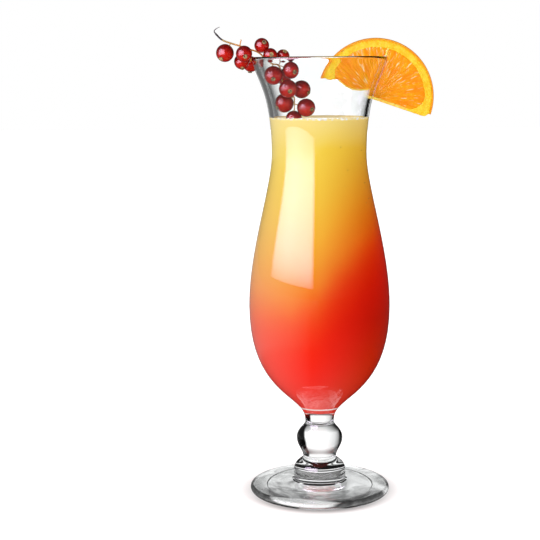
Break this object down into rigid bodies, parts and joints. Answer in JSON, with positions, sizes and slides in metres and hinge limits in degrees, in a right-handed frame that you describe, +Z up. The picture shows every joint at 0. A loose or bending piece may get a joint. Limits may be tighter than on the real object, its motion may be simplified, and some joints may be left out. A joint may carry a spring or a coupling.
{
  "type": "hurricane glass",
  "caption": "Tall stemmed hurricane glass with a waisted bowl, a layered drink, and an orange slice and a currant sprig that lift off the rim.",
  "frame": {"origin": "on the glass's axis, in the plane that the foot's ring rests on", "axes": "+Z up along the glass's axis; +X towards the orange slice; -Y towards the picture's camera"},
  "size_m": [0.1123, 0.0742, 0.2459],
  "materials": {
    "clear_glass": "fire polished",
    "red_syrup": "clear liquid",
    "amber_blend": "slightly cloudy liquid",
    "yellow_juice": "slightly cloudy liquid",
    "foam": "thin bubbles",
    "orange_zest": "waxy and dimpled",
    "orange_pith": "moist and spongy",
    "orange_pulp": "wet, in radial vesicles",
    "orange_membrane": "thin wet skin",
    "green_stalk": "green to brown stalk",
    "dried_flower": "dry and papery",
    "red_currant": "thin translucent skin"
  },
  "bodies": {
    "glass": {"foot": "clear_glass", "stem": "clear_glass", "bowl": "clear_glass", "grenadine": "red_syrup", "blended_layer": "amber_blend", "orange_juice": "yellow_juice", "surface_bubbles": "foam"},
    "orange_slice": {"slice_zest": "orange_zest", "slice_pith": "orange_pith", "slice_pulp_inner": "orange_pulp", "slice_pulp_outer": "orange_pulp", "slice_membrane": "orange_membrane"},
    "currant_sprig": {"sprig_stalk": "green_stalk", "berry_calyxes": "dried_flower", "berry_01": "red_currant", "berry_02": "red_currant", "berry_03": "red_currant", "berry_04": "red_currant", "berry_05": "red_currant", "berry_06": "red_currant", "berry_07": "red_currant", "berry_08": "red_currant", "berry_09": "red_currant", "berry_10": "red_currant", "berry_11": "red_currant", "berry_12": "red_currant", "berry_13": "red_currant", "berry_14": "red_currant", "berry_15": "red_currant"}
  },
  "joints": [
    {"name": "slice_lift", "type": "slide", "parent": "glass", "child": "orange_slice", "axis": [0.3238, 0, 0.9461], "range_m": [0, 0.026]},
    {"name": "sprig_lift", "type": "slide", "parent": "glass", "child": "currant_sprig", "axis": [0, 0, 1], "range_m": [0, 0.045]}
  ]
}
